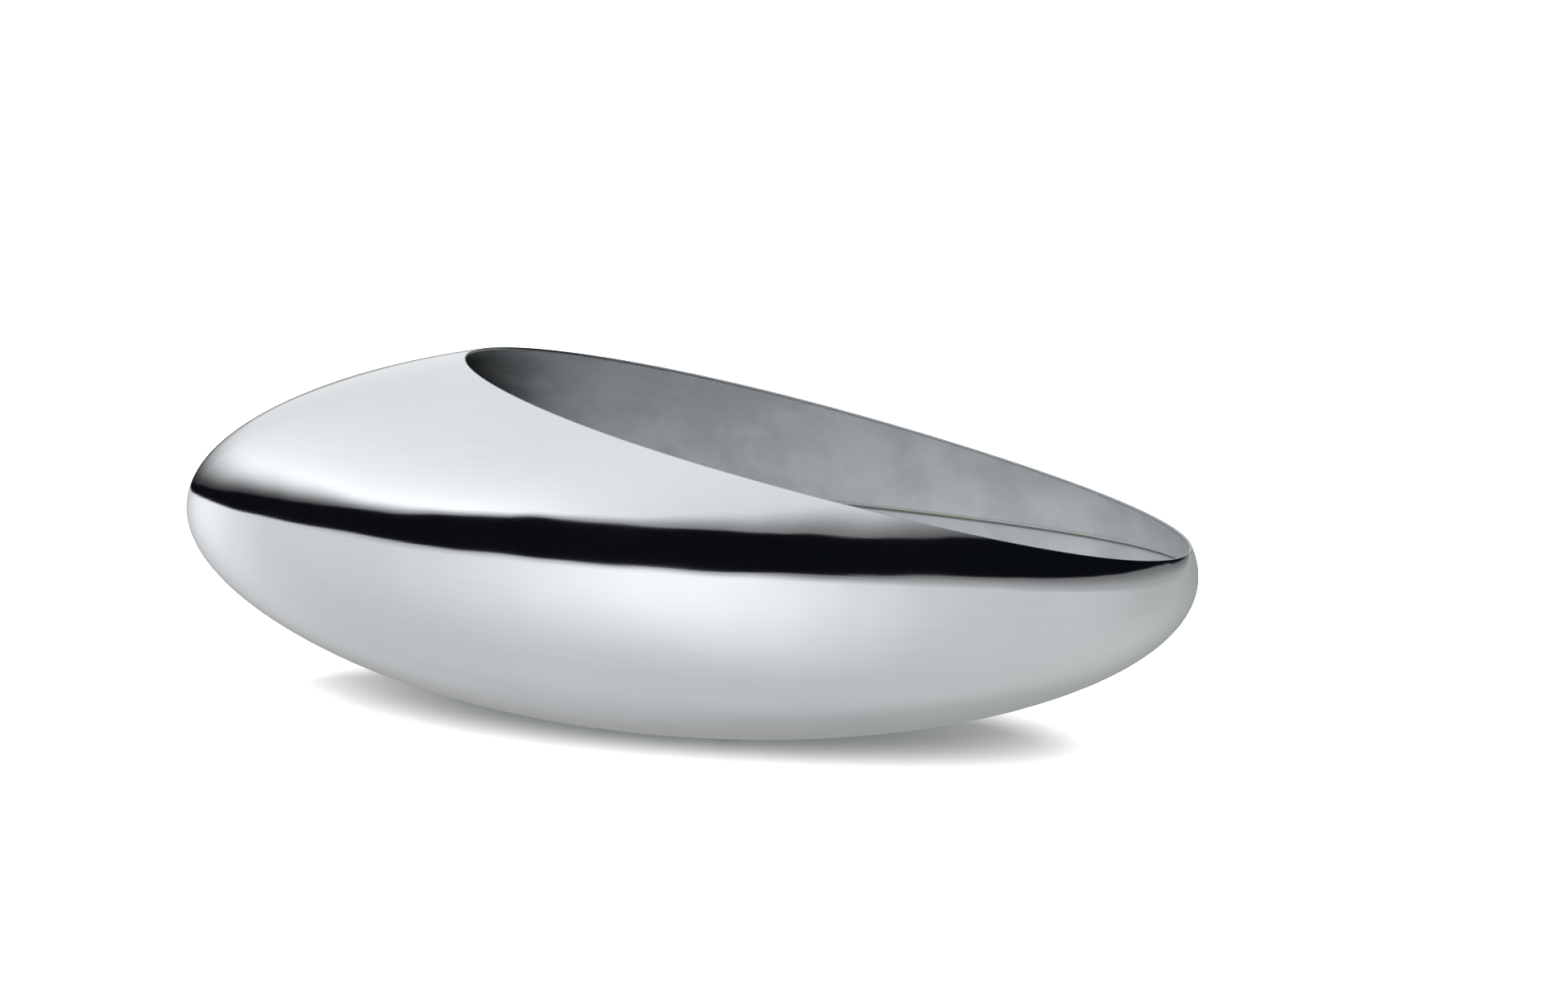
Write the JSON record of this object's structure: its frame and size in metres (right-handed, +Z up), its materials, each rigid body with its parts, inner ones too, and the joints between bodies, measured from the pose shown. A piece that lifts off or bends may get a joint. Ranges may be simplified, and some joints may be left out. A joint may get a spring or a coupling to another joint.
{
  "type": "champagne cooler",
  "caption": "Long pebble-shaped polished steel cooler on its side, cut by a slanted mouth so a bottle lies in ice with its neck over the low end.",
  "frame": {"origin": "on the table, under the middle of the bounding box", "axes": "+Z up, +X from the closed narrow nose to the low open tail, +Y across"},
  "size_m": [0.4596, 0.1804, 0.1614],
  "materials": {
    "polished_steel": "mirror polished outside with faint lengthwise polishing lines, blotchy satin inside",
    "weld_bead": "dull satin weld bead, ground flush outside",
    "silicone": "translucent matt silicone"
  },
  "bodies": {
    "root": {"lower_shell": "polished_steel", "upper_shell": "polished_steel", "seam_weld": "weld_bead", "pad_tail_left": "silicone", "pad_tail_right": "silicone", "pad_nose_left": "silicone", "pad_nose_right": "silicone"}
  },
  "joints": []
}
